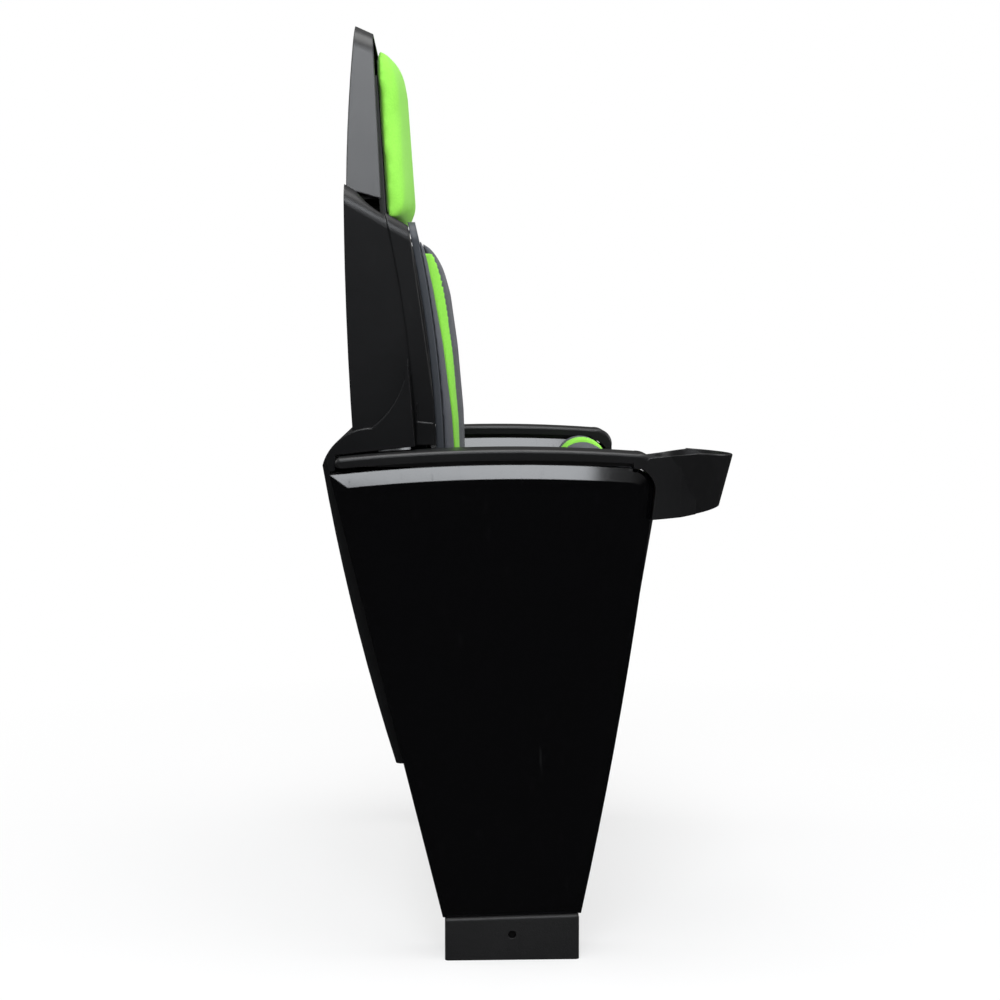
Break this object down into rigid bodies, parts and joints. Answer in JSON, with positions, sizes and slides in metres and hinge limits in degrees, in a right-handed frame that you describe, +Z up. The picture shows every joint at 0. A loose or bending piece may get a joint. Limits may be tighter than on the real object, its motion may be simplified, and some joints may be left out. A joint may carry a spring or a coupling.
{
  "type": "stadium seat",
  "caption": "Tip-up auditorium seat with a fixed high back, padded headrest, tapered side standards, armrests and a cup holder on the sitter's right.",
  "frame": {"origin": "on the floor, at the centre of the four anchor holes", "axes": "+Z up, -Y towards the front of the seat, +X to the sitter's left"},
  "size_m": [0.6631, 0.4879, 1.132],
  "materials": {
    "panel_gloss": "gloss",
    "armrest_moulding": "satin",
    "shell_moulding": "satin",
    "seat_moulding": "satin",
    "foot_moulding": "satin",
    "steel_black": "satin",
    "steel_zinc": "satin",
    "spacer_black": "satin",
    "screw_black": "satin",
    "bush_nylon": "satin",
    "rubber_black": "matte",
    "spring_steel": "satin",
    "rim_dark": "satin",
    "plywood": "matte",
    "fabric_green": "matte",
    "fabric_grey": "matte"
  },
  "bodies": {
    "stand": {"arm_link_cover_left": "shell_moulding", "arm_link_cover_right": "shell_moulding", "armrest_left": "armrest_moulding", "armrest_right": "armrest_moulding", "armrest_screws": "screw_black", "back_board": "rim_dark", "back_bolster_left": "fabric_grey", "back_bolster_right": "fabric_grey", "back_bolts_left": "steel_zinc", "back_bolts_right": "steel_zinc", "back_cushion": "fabric_grey", "back_frame": "steel_black", "back_shell": "shell_moulding", "back_stripe_left": "fabric_green", "back_stripe_right": "fabric_green", "board_screws": "screw_black", "foot_cover_left": "foot_moulding", "foot_cover_right": "foot_moulding", "foot_screws": "screw_black", "headrest_board": "plywood", "headrest_cushion": "fabric_green", "hinge_nut_left": "steel_zinc", "hinge_nut_right": "steel_zinc", "hinge_shaft_left": "steel_zinc", "hinge_shaft_right": "steel_zinc", "hinge_spacer_left": "spacer_black", "hinge_spacer_right": "spacer_black", "inner_panel_left": "panel_gloss", "inner_panel_right": "panel_gloss", "leg_frame_left": "steel_black", "leg_frame_right": "steel_black", "lower_cover": "shell_moulding", "lower_cover_screws": "screw_black", "outer_panel_left": "panel_gloss", "outer_panel_right": "panel_gloss", "panel_screws": "screw_black", "shell_screws": "screw_black", "stop_plate_left": "steel_black", "stop_plate_right": "steel_black"},
    "seat": {"hinge_bracket_left": "steel_black", "hinge_bracket_right": "steel_black", "hinge_bush_left": "bush_nylon", "hinge_bush_right": "bush_nylon", "return_spring_left": "spring_steel", "return_spring_right": "spring_steel", "seat_board": "plywood", "seat_bolster_left": "fabric_grey", "seat_bolster_right": "fabric_grey", "seat_cushion": "fabric_grey", "seat_screws": "screw_black", "seat_shell": "seat_moulding", "seat_stripe_left": "fabric_green", "seat_stripe_right": "fabric_green", "stop_pin_left": "steel_zinc", "stop_pin_right": "steel_zinc", "stop_sleeve_left": "rubber_black", "stop_sleeve_right": "rubber_black"}
  },
  "joints": [
    {"name": "seat_tip", "type": "hinge", "parent": "stand", "child": "seat", "pos_m": [0, -0.092, 0.296], "axis": [1, 0, 0], "range_deg": [0, 61], "stiffness_Nm_per_rad": 5, "springref_deg": -28.65}
  ]
}
